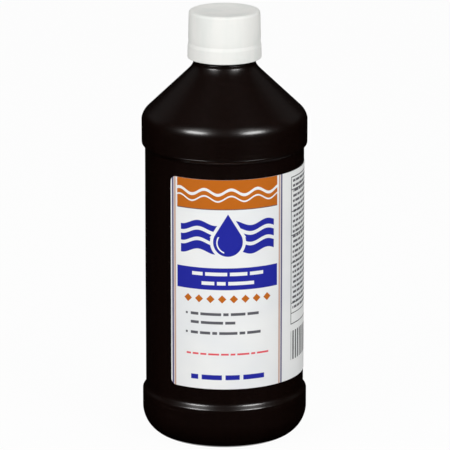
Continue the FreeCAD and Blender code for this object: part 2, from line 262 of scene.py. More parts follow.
@titled
class FillLook(bpy.types.PropertyGroup):
    """Sizes and colour of the contents."""

    wet_gap: length(0.15, "Liquid to the inside of the wall")
    meniscus: length(1.4, "How far the liquid climbs at the wall")
    meniscus_reach: length(1.6, "How far from the wall it climbs")
    water: colour((236, 247, 250), "Clear solution")
    deep: colour((222, 240, 247), "Tint in its depth")


@titled
class StageLook(bpy.types.PropertyGroup):
    """Camera, lamps, dark cards and floor."""

    aim_across: length(0.2, "Camera's aim, to the right of the axis")
    aim_height: length(89.25, "Camera's aim above the floor")
    distance: length(1686.0, "Camera to its aim")
    elevation: angle(15.57, "Camera's height over the horizon")
    lens: amount(320.0, "Focal length in millimetres")
    lamp_distance: length(1050.0, "Each softbox to the bottle")
    lamp_round: angle(42.0, "Each softbox, round from the camera")
    lamp_elevation: angle(27.5, "Each softbox over the horizon")
    lamp_width: length(440.0, "Width of each softbox")
    lamp_height: length(240.0, "Height of each softbox")
    lamp_power: amount(4.4, "Power of each softbox in watts", "POWER")
    fill_low: amount(0.28, "Strength of the even light near the horizon")
    fill_high: amount(0.62, "Strength of the even light overhead")
    flag_radius: length(1500.0, "Dark cards round the bottle, outside the softboxes")
    flag_dark: amount(0.0005, "Brightness of the dark cards")
    flag_pale: amount(0.7, "Brightness of the pale card behind and above")
    flag_dim: amount(0.065, "Brightness of the dim card behind each side")
    spill: amount(1.6, "Brightness of the soft light that each softbox spills above itself")
    spill_foot: angle(33.0, "Where that spill starts, over the horizon")
    spill_full: angle(41.0, "Where that spill is brightest, over the horizon")
    spill_top: angle(71.0, "Where that spill ends, over the horizon")
    spill_edge: angle(22.0, "Half width of that spill, round from its softbox")
    floor_size: length(40000.0, "Side of the square floor")
    floor: colour((214, 214, 214), "Pale matt floor")
    floor_white: amount(0.96, "Share of plain white in the seen floor", "FACTOR")


def outline(*stretches):
    """Points through corners and curves in order; what lies between two of them is straight."""
    return np.concatenate([np.atleast_2d(stretch) for stretch in stretches])


def arc(centre, radius, first, last):
    """Points of a circle between two angles, where 0 is outward and a quarter turn is up."""
    count = max(2, int(radius * abs(last - first) / STEP))
    turn = np.linspace(first, last, count + 1)
    return np.array(centre) + radius * np.stack([np.cos(turn), np.sin(turn)], 1)


def sweep(start, end, ease):
    """Points of an S from start to end, upright at both, that goes across as ease does."""
    up = np.linspace(0, 1, max(2, int((end[1] - start[1]) / STEP)) + 1)
    across = start[0] + (end[0] - start[0]) * ease(up)
    return np.stack([across, start[1] + (end[1] - start[1]) * up], 1)


def walked(points):
    """Distance along an outline at each of its points."""
    return np.append(0, np.cumsum(np.hypot(*np.diff(points, axis=0).T)))


def soften(points, reach):
    """The outline in even steps, each the Gaussian mean of its neighbours, with both ends on the axis."""
    along = walked(points)
    even = np.arange(0, along[-1], STEP)
    half = int(4 * reach / STEP)
    weight = np.exp(-0.5 * (np.arange(-half, half + 1) * STEP / reach) ** 2)
    columns = []
    for column in points.T:
        padded = np.pad(np.interp(even, along, column), half, mode="reflect", reflect_type="odd")
        columns.append(np.convolve(padded, weight / weight.sum(), "valid"))
    eased = np.stack(columns, 1)
    eased[[0, -1], 0] = 0
    return eased


def choose_rows(points, care=1.0, spacing=np.inf):
    """Rows along an outline: one for so much length or turning, times care, and one for each spacing."""
    steps = np.diff(points, axis=0)
    heading = np.unwrap(np.arctan2(steps[:, 1], steps[:, 0]))
    turning = np.abs(np.gradient(heading))
    stride = np.hypot(*steps.T)
    share = (stride / LONGEST_ROW + turning / TURN_PER_ROW) * care + stride / spacing
    measure = np.append(0, np.cumsum(share))
    picks = np.linspace(0, measure[-1], math.ceil(measure[-1]) + 1)
    return np.stack([np.interp(picks, measure, column) for column in points.T], 1)


def columns_round(seams=(), offsets=()):
    """A row of angles round the axis in even steps, with closer ones beside each seam."""
    full = 2 * math.pi
    sides = [side * offset for offset in offsets for side in (-1, 1)]
    near = [(seam + side) % full for seam in seams for side in sides]
    even = np.linspace(0, full, COLUMNS, endpoint=False)
    return np.unique(np.concatenate([even, near]))[None, :]


def gauss(distance, width):
    """A bell of height 1 with the given half width."""
    return np.exp(-((distance / width) ** 2))


def smooth_step(share):
    """0 below 0, 1 above 1 and an even S between."""
    held = np.clip(share, 0, 1)
    return held * held * (3 - 2 * held)


def gentle_end(share):
    """0 below 0, 1 above 1 and an S between that turns tightly at 0 and gently at 1."""
    held = np.clip(share, 0, 1)
    return held * held * (6 - 8 * held + 3 * held * held)


def helix_ridge(turn, height, foot, pitch, turns, fade, half_crest, flank_width):
    """Share of a thread's full height at an angle and a height.

    The thread's middle rises one pitch a turn from foot. A point takes the nearest winding, and
    the ridge is full within half its crest, falls over its flank, and fades past its two ends.
    """
    around = turn / (2 * math.pi)
    winding = np.round((height - foot) / pitch - around)
    progress = around + winding
    distance = np.abs(height - foot - pitch * progress)
    section = smooth_step((half_crest + flank_width - distance) / flank_width)
    ends = smooth_step((progress + fade) / fade) * smooth_step((turns + fade - progress) / fade)
    return section * ends


def revolve(radius, height, turn):
    """Points on rings: radius along each angle from the axis, at a height."""
    radius, height, turn = np.broadcast_arrays(radius, height, turn)
    return np.stack([radius * np.cos(turn), radius * np.sin(turn), height], -1)


def rings_to_faces(rings):
    """Points and outward faces of rings from one pole on the axis to another."""
    count, columns = rings.shape[0] - 2, rings.shape[1]
    points = np.concatenate([rings[1:-1].reshape(-1, 3), rings[[0, -1], 0]])
    here = np.arange(count * columns).reshape(count, columns)
    beside = np.roll(here, -1, axis=1)
    quads = np.stack([here[:-1], beside[:-1], beside[1:], here[1:]], -1).reshape(-1, 4)
    first, last = np.full(columns, count * columns), np.full(columns, count * columns + 1)
    fans = np.concatenate([
        np.stack([first, beside[0], here[0]], -1),
        np.stack([here[-1], beside[-1], last], -1),
    ])
    return points, quads.tolist() + fans.tolist()


def new_piece(name, points, faces, finish):
    """A mesh object at the origin with smooth faces, sharp where they meet at a hard edge."""
    mesh = bpy.data.meshes.new(name)
    mesh.from_pydata(points.tolist(), [], faces)
    mesh.shade_smooth()
    mesh.set_sharp_from_angle(angle=SHARP)
    mesh.materials.append(finish)
    piece = bpy.data.objects.new(name, mesh)
    bpy.context.scene.collection.objects.link(piece)
    return piece


def seat(piece, body, node):
    """Lets a piece stand for a node and ride on its body."""
    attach(piece, body)
    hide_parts(node)


def math_node(operation, swapped=False):
    """A method that adds one Math node for one of Python's operators."""
    def act(signal, *other):
        numbers = (*other, signal) if swapped else (signal, *other)
        return signal.shade.maths(operation, *numbers)
    return act


class Signal:
    """A number that varies over a surface. Python's operators on it add Math nodes.

    Shapes are signed distances, below 0 inside: | joins two, & keeps what both hold, and ~ turns
    one inside out.
    """

    def __init__(self, shade, socket):
        self.shade = shade
        self.socket = socket

    __add__ = __radd__ = math_node("ADD")
    __sub__ = math_node("SUBTRACT")
    __rsub__ = math_node("SUBTRACT", swapped=True)
    __mul__ = __rmul__ = math_node("MULTIPLY")
    __truediv__ = math_node("DIVIDE")
    __abs__ = math_node("ABSOLUTE")
    __floor__ = math_node("FLOOR")
    __or__ = math_node("MINIMUM")
    __and__ = math_node("MAXIMUM")

    def __invert__(self):
        return self * -1


class Shade:
    """A node tree that is written as expressions."""

    def __init__(self, tree):
        self.tree = tree
        tree.nodes.clear()

    def node(self, kind, settings=(), inputs=(), output=0):
        """Adds a node of a kind, with its settings, then its sockets' values or links; gives one output."""
        made = self.tree.nodes.new(f"ShaderNode{kind}")
        for name, setting in dict(settings).items():
            setattr(made, name, setting)
        for name, given in dict(inputs).items():
            self.feed(made.inputs[name], given)
        return Signal(self, made.outputs[output]) if made.outputs else None

    def feed(self, socket, given):
        """Links a signal to a socket, or sets the socket's own value."""
        if isinstance(given, Signal):
            self.tree.links.new(given.socket, socket)
        else:
            socket.default_value = given

    def maths(self, operation, *numbers):
        """One sum, product or other Math node."""
        return self.node("Math", {"operation": operation}, dict(enumerate(numbers)))

    def root(self, number):
        return self.maths("SQRT", number)

    def wave(self, number):
        return self.maths("SINE", number)

    def ramp(self, number, low, high, first=0.0, last=1.0):
        """Goes smoothly from first to last as a number goes from low to high."""
        settings = {"interpolation_type": "SMOOTHSTEP"}
        ends = {"Value": number, "From Min": low, "From Max": high, "To Min": first, "To Max": last}
        return self.node("MapRange", settings, ends)

    def spot(self):
        """The object's own coordinates."""
        return self.node("TexCoord", output="Object")

    def parts(self, spot):
        """The three numbers of a vector."""
        split = self.node("SeparateXYZ", inputs={"Vector": spot}).socket.node
        return [Signal(self, output) for output in split.outputs]

    def cloud(self, spot, scale, detail=2.0):
        """Soft noise from about 0.3 to 0.7, of one scale or of a scale for each axis."""
        if isinstance(scale, tuple):
            spot = self.node("Mapping", inputs={"Vector": spot, "Scale": scale})
            scale = 1.0
        sizes = {"Vector": spot, "Scale": scale, "Detail": detail}
        return self.node("TexNoise", inputs=sizes, output="Fac")

    def lay(self, under, over, mask):
        """One colour over another where the mask is 1."""
        return self.node("Mix", {"data_type": "RGBA"}, {0: mask, 6: opaque(under), 7: opaque(over)}, 2)

    def bump(self, height, depth):
        """A normal from a height that stands for so many metres at 1."""
        return self.node("Bump", inputs={"Strength": 1.0, "Distance": depth, "Height": height})

    def seen(self):
        """1 on rays that show a thing straight, mirrored or through glass, and 0 on rays that only light."""
        path = self.node("LightPath").socket.node
        rays = ("Is Camera Ray", "Is Glossy Ray", "Is Transmission Ray")
        straight_on, mirrored, through = (Signal(self, path.outputs[ray]) for ray in rays)
        return straight_on & mirrored & through

    def surface(self, **sockets):
        """Ends the tree in one shader with these sockets."""
        named = {name.replace("_", " "): given for name, given in sockets.items()}
        shader = self.node("BsdfPrincipled", inputs=named)
        self.node("OutputMaterial", inputs={"Surface": shader})


def new_finish(name):
    """An empty material and its tree."""
    material = bpy.data.materials.new(name)
    material.use_nodes = True
    return material, Shade(material.node_tree)


def opaque(tint):
    """A stored colour as a socket takes it; a signal stays as it is."""
    return tint if isinstance(tint, Signal) else (*tint, 1.0)


def joined(shapes):
    """One shape that holds several."""
    return reduce(or_, shapes)


def brown_plastic(look):
    """Blown polyethylene: dark and hazy, with drawn streaks and rubbed bumpers, under a glossy skin."""
    material, shade = new_finish("brown_blown_plastic")
    spot = shade.spot()
    across, deep, _ = shade.parts(spot)
    radius = shade.root(across * across + deep * deep)
    streaks = shade.cloud(spot, (420, 420, 14), 3.0)
    mottle = shade.cloud(spot, 70, 3.0)
    peel = shade.cloud(spot, 620)
    grain = shade.cloud(spot, 4200)
    scratches = shade.cloud(spot, (60, 60, 3800))
    bumper = SHELL_BOX[1].x
    rubbed = shade.ramp(radius, bumper - 0.25 * MM, bumper - 0.02 * MM)
    worn = rubbed * shade.ramp(scratches, 0.60, 0.72) * shade.ramp(mottle, 0.45, 0.62)
    tint = shade.lay(look.plastic, look.streak, shade.ramp(streaks, 0.42, 0.68) * 0.6)
    tint = shade.lay(tint, look.scuff, worn * 0.55)
    rough = 0.30 + 0.08 * mottle + 0.05 * grain + 0.12 * worn
    skin = peel * 0.8 + grain * 0.2 + streaks * 0.25
    shade.surface(
        Base_Color=tint,
        Roughness=rough,
        Normal=shade.bump(skin, 0.012 * MM),
        Specular_IOR_Level=look.shine,
        Specular_Tint=opaque(look.haze),
        IOR=1.54,
        Coat_Weight=look.polish,
        Coat_Roughness=look.skin_roughness,
        Coat_IOR=look.skin_index,
    )
    return material


def white_plastic(look):
    """Moulded polypropylene: a fine satin skin with faint flow marks."""
    material, shade = new_finish("white_moulded_plastic")
    spot = shade.spot()
    flow = shade.cloud(spot, (160, 160, 40), 3.0)
    satin = shade.cloud(spot, 2600)
    peel = shade.cloud(spot, 480)
    tint = shade.lay(look.white, look.cool, shade.ramp(flow, 0.4, 0.66))
    rough = 0.42 + 0.12 * flow + 0.08 * satin
    shade.surface(
        Base_Color=tint,
        Roughness=rough,
        Normal=shade.bump(satin * 0.35 + peel * 0.65, 0.010 * MM),
        Specular_IOR_Level=0.35,
    )
    return material


def bare_foil(look):
    """Rolled aluminium foil: fine rolling lines, duller patches and a pressed diamond grain."""
    material, shade = new_finish("bare_foil")
    spot = shade.spot()
    across, deep, _ = shade.parts(spot)
    rolled = shade.cloud(spot, (60, 6000, 60))
    patch = shade.cloud(spot, 260, 3.0)
    pitch = 2 * math.pi / (0.9 * MM)
    diamonds = shade.wave((across + deep) * pitch) * shade.wave((across - deep) * pitch)
    tint = shade.lay(look.foil, look.foil_dark, shade.ramp(patch, 0.45, 0.7))
    shade.surface(
        Base_Color=tint,
        Roughness=0.22 + 0.2 * patch + 0.1 * rolled,
        Metallic=1.0,
        Normal=shade.bump(diamonds * 0.5 + rolled * 0.4, 0.010 * MM),
    )
    return material


def pulp_board(look):
    """Pressed pulp: short crossing fibres, specks and a dry, uneven face."""
    material, shade = new_finish("pulp_board")
    spot = shade.spot()
    one_way = shade.cloud(spot, (260, 2600, 1200), 3.0)
    other_way = shade.cloud(spot, (2600, 300, 1200), 3.0)
    specks = shade.ramp(shade.cloud(spot, 1900, 1.0), 0.66, 0.74)
    fibres = one_way & other_way
    tint = shade.lay(look.board, look.fibre, shade.ramp(fibres, 0.52, 0.74) * 0.7)
    tint = shade.lay(tint, look.fibre, specks)
    shade.surface(
        Base_Color=tint,
        Roughness=0.72 + 0.24 * fibres,
        Normal=shade.bump(fibres, 0.05 * MM),
        Specular_IOR_Level=0.3,
    )
    return material


def clear_water(look):
    """Still water with a faint tint and a slightly uneven surface."""
    material, shade = new_finish("clear_water")
    spot = shade.spot()
    drift = shade.cloud(spot, 40)
    shade.surface(
        Base_Color=shade.lay(look.water, look.deep, shade.ramp(drift, 0.35, 0.7)),
        Roughness=0.02 + 0.03 * drift,
        Normal=shade.bump(shade.cloud(spot, 90, 1.0), 0.02 * MM),
        Transmission_Weight=1.0,
        IOR=1.335,
    )
    return material


class Sheet:
    """The label's face in millimetres, x from the middle of the front and y from the foot.

    Ink has a soft edge, and each row of a block of bars enters their noise a jump further on.
    """

    EDGE = 0.07
    ROW_JUMP = 7.31

    def __init__(self, shade, width, left, height):
        across, up, _ = shade.parts(shade.node("UVMap", {"uv_map": PRINT_MAP}))
        self.shade = shade
        self.x = across * width - left
        self.y = (up - MAP_MARGIN) * (height / (1 - MAP_MARGIN))

    def ink(self, shape):
        """Where a shape prints."""
        return self.shade.ramp(shape, -self.EDGE, self.EDGE, 1.0, 0.0)

    def plate(self, left, right, foot, top):
        """A rectangle."""
        across = (left - self.x) & (self.x - right)
        return across & (foot - self.y) & (self.y - top)

    def stripe(self, middle, half_width):
        """A level line all the way across."""
        return abs(self.y - middle) - half_width

    def upright(self, middle, half_width):
        """A line all the way up."""
        return abs(self.x - middle) - half_width

    def bars(self, middle, left, lengths, half_height, gap):
        """One row of bars of given lengths, from the left."""
        starts = left + np.cumsum([0, *lengths[:-1]]) + gap * np.arange(len(lengths))
        centres = starts + np.array(lengths) / 2
        row = [self.upright(centre, size / 2) for centre, size in zip(centres.tolist(), lengths)]
        return joined(row) & self.stripe(middle, half_height)

    def centred_bars(self, middle, centre, lengths, half_height, gap):
        """One row of bars about a centre."""
        span = sum(lengths) + gap * (len(lengths) - 1)
        return self.bars(middle, centre - span / 2, lengths, half_height, gap)

    def frame(self, left, right, foot, top, line):
        """The outline of a rectangle."""
        return abs(self.plate(left, right, foot, top)) - line

    def drop(self, middle, foot, radius, height):
        """A drop: a circle, and the cone of its two tangents from a point above."""
        across = abs(self.x - middle)
        up = self.y - (foot + radius)
        rise = radius / (height - radius)
        lean = math.sqrt(1 - rise * rise)
        ball = self.shade.root(across * across + up * up) - radius
        cone = (across * lean + up * rise - radius) & (radius * rise - up)
        return ball | cone

    def ripple(self, middle, half_width, swing, period):
        """A stripe that rises and falls as a sine."""
        crest = self.shade.wave(self.x * (2 * math.pi / period)) * swing
        return abs(self.y - middle - crest) - half_width

    def lozenges(self, middle, centre, spacing, radius):
        """A row of lozenges at even spacing about a centre."""
        step = (self.x - centre) / spacing
        across = (step - math.floor(step) - 0.5) * spacing
        return (abs(across) + abs(self.y - middle)) - radius

    def even_bars(self, spacing, half_width):
        """Upright bars, all alike."""
        step = self.x / spacing
        return abs(step - math.floor(step) - 0.5) * spacing - half_width

    def bar_block(self, left, right, top, pitch, lines, half_height, bar, gap, seed, ragged):
        """Rows of bars of uneven length, with a ragged right end.

        The bars are the cells of a one-way Voronoi noise, and each row's end is drawn by chance.
        """
        step = (top - self.y) / pitch
        line = math.floor(step)
        row = abs(step - line - 0.5) * pitch - half_height
        cell = self.shade.node(
            "TexVoronoi", {"voronoi_dimensions": "1D", "feature": "DISTANCE_TO_EDGE"},
            {"W": self.x / bar + line * self.ROW_JUMP + seed, "Scale": 1.0, "Randomness": 0.9}, "Distance",
        )
        chance = self.shade.node("TexWhiteNoise", {"noise_dimensions": "1D"}, {"W": line + seed}, "Value")
        block = self.plate(left, right - chance * ragged, top - pitch * lines, top)
        return block & row & (gap / 2 - cell * bar)


def printed_paper(look, width, left, height):
    """Coated paper printed with plain shapes: header, drop and waves, band, lozenges, side borders and bars.

    Each ink's shape is one signed distance in millimetres over the label's own map. Ink is a little
    glossier than the paper, and the paper has a fine felt grain.
    """
    material, shade = new_finish("printed_paper")
    page = Sheet(shade, width, left, height)
    front_left, front_right = -20.9, 23.8
    middle = (front_left + front_right) / 2
    front = page.plate(front_left, front_right, -1, height + 1)

    header_foot = height - 12.4
    header = page.plate(front_left, front_right, header_foot, height + 1)
    wave_rows = ((height - 5.2, 0.62), (height - 8.0, 0.34))
    header_waves = joined(page.ripple(up, half, swing=1.15, period=11.2) for up, half in wave_rows)
    lozenges = page.lozenges(39.2, middle, spacing=4.9, radius=1.75)
    lozenges = lozenges & page.plate(middle - 19.6, middle + 19.6, 30, 45)
    back_drop = page.drop(112.0, foot=9.0, radius=4.6, height=15.0)
    orange = (header & ~header_waves) | (lozenges & front) | back_drop
    keyline = page.stripe(header_foot - 0.16, 0.17) & front

    drop = page.drop(middle, foot=57.6, radius=6.2, height=18.2)
    glint = abs(page.drop(middle, foot=59.0, radius=4.6, height=14.0)) - 0.28
    glint = glint & (page.x - (middle - 1.6)) & (page.y - 66.0)
    wave_rows = ((70.6, 1.3), (66.2, 1.5), (61.4, 1.8))
    waves = joined(page.ripple(up, half, swing=1.1, period=14.9) for up, half in wave_rows)
    waves = waves & page.plate(front_left + 1.8, front_right - 1.8, 50, 80) & (1.3 - drop)
    band = page.plate(front_left, front_right, 43.2, 52.6)
    band_rows = {50.0: (4.6, 9.2, 7.4, 6.0), 46.0: (5.4, 3.6, 11.0)}
    band_bars = joined(
        page.centred_bars(up, middle, sizes, half_height=0.75, gap=1.1) for up, sizes in band_rows.items()
    )
    foot_bars = page.centred_bars(5.1, middle, (3.2, 8.6, 6.0, 9.4), half_height=1.05, gap=1.5)
    blue = (drop & ~glint) | waves | (band & ~band_bars) | foot_bars

    bars_left = front_left + 6.4
    front_rows = {
        32.6: (3.4, 8.8, 2.2, 6.2, 5.0), 28.9: (3.6, 9.4, 4.2), 24.4: (3.2, 4.4, 2.0, 7.6, 2.4, 6.0),
    }
    front_bars = joined(
        page.bars(up, bars_left, sizes, half_height=0.6, gap=0.9) for up, sizes in front_rows.items()
    )
    bullet = page.plate(bars_left - 2.3, bars_left - 1.4, 0, 40)
    bullets = bullet & joined(page.stripe(up, half_width=0.45) for up in (32.6, 24.4))
    red_sizes = (2.0, 2.6, 2.6, 4.6, 3.2, 2.0, 5.2, 1.8, 5.4)
    red = page.centred_bars(15.2, middle, red_sizes, half_height=0.4, gap=0.8)

    side_left, side_right = 32.8, 77.0
    back_left, back_right = 81.0, 125.0
    box_foot, box_top = 24.0, height - 2.6
    side_box = page.frame(side_left, side_right, box_foot, box_top, line=0.2)
    rule_heights = (height - 8.0, height - 17.5, 62.5, 50.5, 33.0, 28.6)
    side_rules = joined(page.stripe(up, half_width=0.17) for up in rule_heights)
    side_rules = side_rules & page.plate(side_left, side_right, box_foot, box_top)
    upright_bars = page.even_bars(spacing=2.1, half_width=0.5)
    upright_bars = upright_bars & page.plate(side_left, side_left + 26.0, 8.2, 20.8)
    back_box = page.frame(back_left, back_right, 33.0, box_top, line=0.13)
    small_box = page.frame(back_left, back_left + 22.0, 8.2, 26.0, line=0.13)
    black = side_box | side_rules | upright_bars | back_box | small_box
    side_bars = page.bar_block(
        side_left + 1.2, side_right - 1.2, height - 3.2, pitch=2.2, lines=26, half_height=0.52,
        bar=3.4, gap=0.55, seed=17.0, ragged=9.0,
    )
    back_bars = page.bar_block(
        back_left + 1.2, back_right - 1.2, height - 3.6, pitch=2.6, lines=20, half_height=0.55,
        bar=3.8, gap=0.6, seed=29.0, ragged=12.0,
    )
    grey = front_bars | bullets | side_bars | back_bars

    outer_rules, inner_rules = (
        joined(page.upright(place, half_width=0.42) for place in places)
        for places in ((-23.2, 26.3), (-22.1, 25.1))
    )
    spot = shade.spot()
    felt = shade.cloud(spot, 5200, 3.0)
    tone = shade.cloud(spot, 34)
    tint = shade.lay(look.paper, look.shade, shade.ramp(tone, 0.38, 0.66))
    printed = None
    for ink, shape in (
        (look.rule, outer_rules),
        (look.tan, inner_rules),
        (look.grey, grey),
        (look.black, black),
        (look.red, red),
        (look.orange, orange),
        (look.blue, blue),
        (look.keyline, keyline),
    ):
        mask = page.ink(shape)
        tint = shade.lay(tint, ink, mask)
        printed = mask if printed is None else printed & mask
    shade.surface(
        Base_Color=tint,
        Roughness=0.46 + 0.10 * felt - 0.12 * printed,
        Normal=shade.bump(felt, 0.008 * MM),
        Specular_IOR_Level=0.35,
    )
    return material


def flag_finish(look):
    """Dark card with soft glows: a narrow pale one behind and above, a dim one behind each side, and spill.

    Each glow is a product of ramps over the dome's own coordinates, as shares of its radius. The
    spill over each softbox runs between bearings from the front and heights over the horizon, and is
    full over the middle fifth of its width.
    """
    material, shade = new_finish("dark_card")
    across, behind, up = (part / look.flag_radius for part in shade.parts(shade.spot()))
    aside = abs(across)
    pale = shade.ramp(behind, 0.4, 0.8) * shade.ramp(up, 0.1, 0.5) * shade.ramp(aside, 0.08, 0.3, 1.0, 0.0)
    dim = shade.ramp(aside, 0.42, 0.6) * shade.ramp(behind, 0.15, 0.45) * shade.ramp(up, 0.2, 0.5)
    bearing = aside / ~behind
    turns = [look.lamp_round + side * look.spill_edge for side in (-1.0, -0.2, 0.2, 1.0)]
    inner, inner_full, outer_full, outer = (math.tan(turn) for turn in turns)
    low, full, high = (math.sin(height) for height in (look.spill_foot, look.spill_full, look.spill_top))
    spill = shade.ramp(bearing, inner, inner_full) * shade.ramp(bearing, outer_full, outer, 1.0, 0.0)
    spill = spill * shade.ramp(up, low, full) * shade.ramp(up, full, high, 1.0, 0.0)
    glow = [look.flag_dark] * 3
    for level, share in ((look.flag_pale, pale), (look.flag_dim, dim), (look.spill, spill)):
        glow = shade.lay(glow, [level] * 3, share)
    card = shade.node("Emission", inputs={"Color": glow, "Strength": 1.0})
    shade.node("OutputMaterial", inputs={"Surface": card})
    return material


def floor_finish(look):
    """Pale matt floor that keeps its shadows.

    Seen straight, mirrored or through glass it is mostly plain white.
    """
    material, shade = new_finish("pale_floor")
    share = shade.seen() * look.floor_white
    matt = shade.node("BsdfDiffuse", inputs={"Color": opaque(look.floor)})
    white = shade.node("Emission", inputs={"Color": (1, 1, 1, 1), "Strength": 1.0})
    mixed = shade.node("MixShader", inputs={0: share, 1: matt, 2: white})
    shade.node("OutputMaterial", inputs={"Surface": mixed})
    return material


class Shell:
    """Places of the blown bottle, worked out from its sizes; each is a radius or a height."""

    def __init__(self, look):
        self.look = look
        self.bumper = SHELL_BOX[1].x
        self.panel = self.bumper - look.panel_recess
        self.standing = self.bumper - look.heel_setback
        self.ring_inner = self.standing - look.ring_width
        self.dome_arc = (self.ring_inner ** 2 + look.base_pushup ** 2) / (2 * look.base_pushup)
        self.heel_arc = (look.heel_setback ** 2 + look.heel_height ** 2) / (2 * look.heel_setback)
        self.lower_foot = look.heel_height + look.lower_bumper
        self.panel_foot = self.lower_foot + look.lower_step
        self.panel_top = self.panel_foot + look.panel_height
        self.upper_head = self.panel_top + look.upper_step
        self.shoulder = self.upper_head + look.upper_bumper
        self.neck = look.finish_radius + look.collar_ledge
        self.mouth = look.finish_radius - look.finish_wall
        self.neck_base = self.cone_height(0.0, self.neck)
        self.collar_top = self.neck_base + look.collar_height
        self.land = self.collar_top + look.finish_height

    def cone_foot(self, wall):
        """Where the shoulder's turn, set in by a wall, meets the cone."""
        turn = self.look.shoulder_round - wall
        across = self.bumper - self.look.shoulder_round + turn * math.sin(self.look.shoulder_slope)
        return across, self.shoulder + turn * math.cos(self.look.shoulder_slope)

    def cone_height(self, wall, radius):
        """Height at which the cone, set in by a wall, has a radius."""
        across, up = self.cone_foot(wall)
        return up + (across - radius) * math.tan(self.look.shoulder_slope)

    def body(self, wall, base):
        """The body's outline from the middle of the base to the cone's foot, set in by a wall and a base."""
        look = self.look
        bumper, panel = self.bumper - wall, self.panel - wall
        dome_centre = look.base_pushup + base - self.dome_arc
        dome_turn = math.asin(self.ring_inner / self.dome_arc)
        heel_arc = self.heel_arc - wall
        heel_turn = math.asin((look.heel_height - base) / heel_arc)
        heel_centre = self.bumper - self.heel_arc
        shoulder = (self.bumper - look.shoulder_round, self.shoulder)
        return outline(
            arc((0.0, dome_centre), self.dome_arc, QUARTER, QUARTER - dome_turn),
            arc((heel_centre, look.heel_height), heel_arc, -heel_turn, 0.0),
            sweep((bumper, self.lower_foot), (panel, self.panel_foot), gentle_end),
            sweep((panel, self.panel_top), (bumper, self.upper_head), smooth_step),
            arc(shoulder, look.shoulder_round - wall, 0.0, QUARTER - look.shoulder_slope),
        )

    def neck_outline(self):
        """From the cone's flare up the collar and the finish, over the land and down the bore."""
        look = self.look
        cone_tilt = QUARTER - look.shoulder_slope
        flare_tilt = cone_tilt - look.flare_turn
        rim = self.neck + look.bead_depth
        flare_end = rim + look.fillet_round * (1 - math.cos(flare_tilt))
        flare_centre = flare_end + look.flare_round * math.cos(flare_tilt)
        flare_start = flare_centre - look.flare_round * math.cos(cone_tilt)
        flare_height = self.cone_height(0.0, flare_start) + look.flare_round * math.sin(cone_tilt)
        fillet_height = flare_height - (look.flare_round - look.fillet_round) * math.sin(flare_tilt)
        bead_foot = fillet_height + look.rim_height
        bead_arc = (look.bead_depth ** 2 + (look.bead_height / 2) ** 2) / (2 * look.bead_depth)
        bead_turn = math.asin(look.bead_height / 2 / bead_arc)
        bead = (self.neck + look.bead_depth - bead_arc, bead_foot + look.bead_height / 2)
        outer, inner, edge = look.finish_radius, self.mouth, look.land_round
        return outline(
            arc((flare_centre, flare_height), look.flare_round, math.pi + cone_tilt, math.pi + flare_tilt),
            arc((rim + look.fillet_round, fillet_height), look.fillet_round, math.pi + flare_tilt, math.pi),
            arc(bead, bead_arc, -bead_turn, bead_turn),
            (self.neck, self.collar_top),
            (outer, self.collar_top),
            arc((outer - edge, self.land - edge), edge, 0.0, QUARTER),
            arc((inner + edge, self.land - edge), edge, QUARTER, 2 * QUARTER),
            (inner, self.cone_height(look.wall, inner)),
        )


class Thread:
    """Places of the screw thread on the finish and in the cap."""

    def __init__(self, look, shell):
        finish = shell.look.finish_radius
        self.look = look
        self.top = shell.land - look.drop
        self.foot = self.top - look.pitch * look.turns
        self.bore = finish + look.depth + look.crest_clearance
        self.cap_depth = self.bore - finish - look.root_clearance
        slope = math.tan(look.flank)
        overlap = look.depth - look.root_clearance
        apart = (look.crest + look.cap_crest) / 2 + overlap * slope + look.flank_clearance
        self.cap_foot = self.foot - apart

    def on_finish(self, turn, height):
        """How far the thread stands out from the finish."""
        look = self.look
        flank = look.depth * math.tan(look.flank)
        return look.depth * helix_ridge(
            turn, height, self.foot, look.pitch, look.turns, look.fade, look.crest / 2, flank
        )

    def in_cap(self, turn, height):
        """How far the thread stands in from the cap's bore."""
        look = self.look
        flank = self.cap_depth * math.tan(look.flank)
        return self.cap_depth * helix_ridge(
            turn, height, self.cap_foot, look.pitch, look.turns - look.cap_fade, look.cap_fade,
            look.cap_crest / 2, flank,
        )

    def spans(self, height, foot, reach):
        """Where a height lies on the wound stretch."""
        top = foot + self.look.pitch * (self.look.turns + reach)
        margin = self.look.pitch / 2
        return (height > foot - self.look.pitch * reach - margin) & (height < top + margin)


